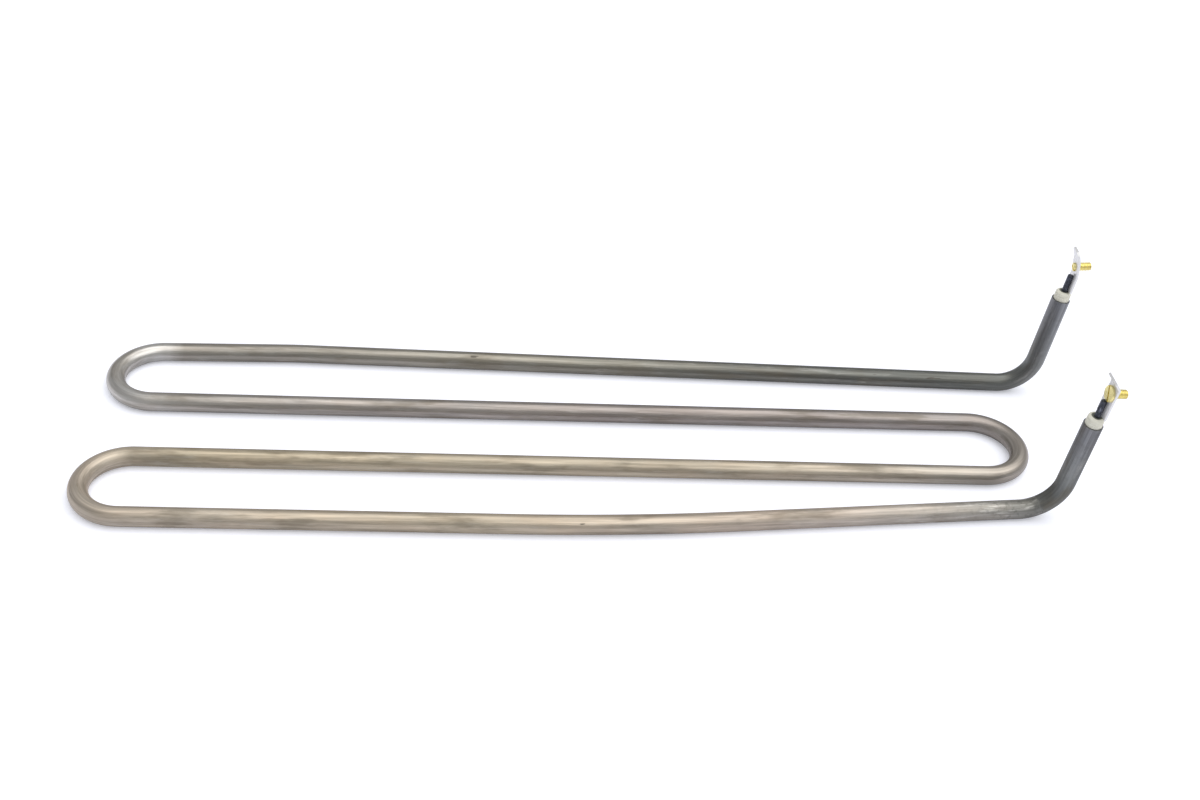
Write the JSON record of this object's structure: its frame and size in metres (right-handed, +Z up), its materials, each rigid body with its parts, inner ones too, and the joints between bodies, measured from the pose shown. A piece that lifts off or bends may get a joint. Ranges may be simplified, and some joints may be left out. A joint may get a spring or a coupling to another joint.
{
  "type": "tubular heating element",
  "caption": "Serpentine tubular heating element: a steel-sheathed heater tube bent flat into parallel legs, with both ends turned up to screw terminals.",
  "frame": {"origin": "on the floor, under the middle of the bounding box", "axes": "+X along the legs, towards the turned-up terminals; +Y from the front leg (leg 4) to the back leg (leg 1); +Z up out of the serpentine's plane"},
  "size_m": [0.4487, 0.1269, 0.0802],
  "materials": {
    "sheath_steel": "oxidised, satin stainless steel tube, dark blue-grey on the turned-up ends",
    "magnesia": "compacted magnesium oxide powder",
    "coil_wire": "nickel-chrome resistance wire",
    "pin_steel": "dark, oxidised steel pin",
    "resin": "cured sealing resin",
    "steatite": "unglazed cream steatite",
    "tab_nickel": "nickel-plated steel strip",
    "screw_brass": "bright turned brass"
  },
  "bodies": {
    "root": {"sheath": "sheath_steel", "magnesia_core": "magnesia", "resistance_coil": "coil_wire", "terminal_pin_back": "pin_steel", "terminal_pin_front": "pin_steel", "end_seal_back": "resin", "end_seal_front": "resin", "ceramic_bush_back": "steatite", "ceramic_bush_front": "steatite", "terminal_tab_back": "tab_nickel", "terminal_tab_front": "tab_nickel", "terminal_stud_back": "screw_brass", "terminal_screw_front": "screw_brass"}
  },
  "joints": []
}
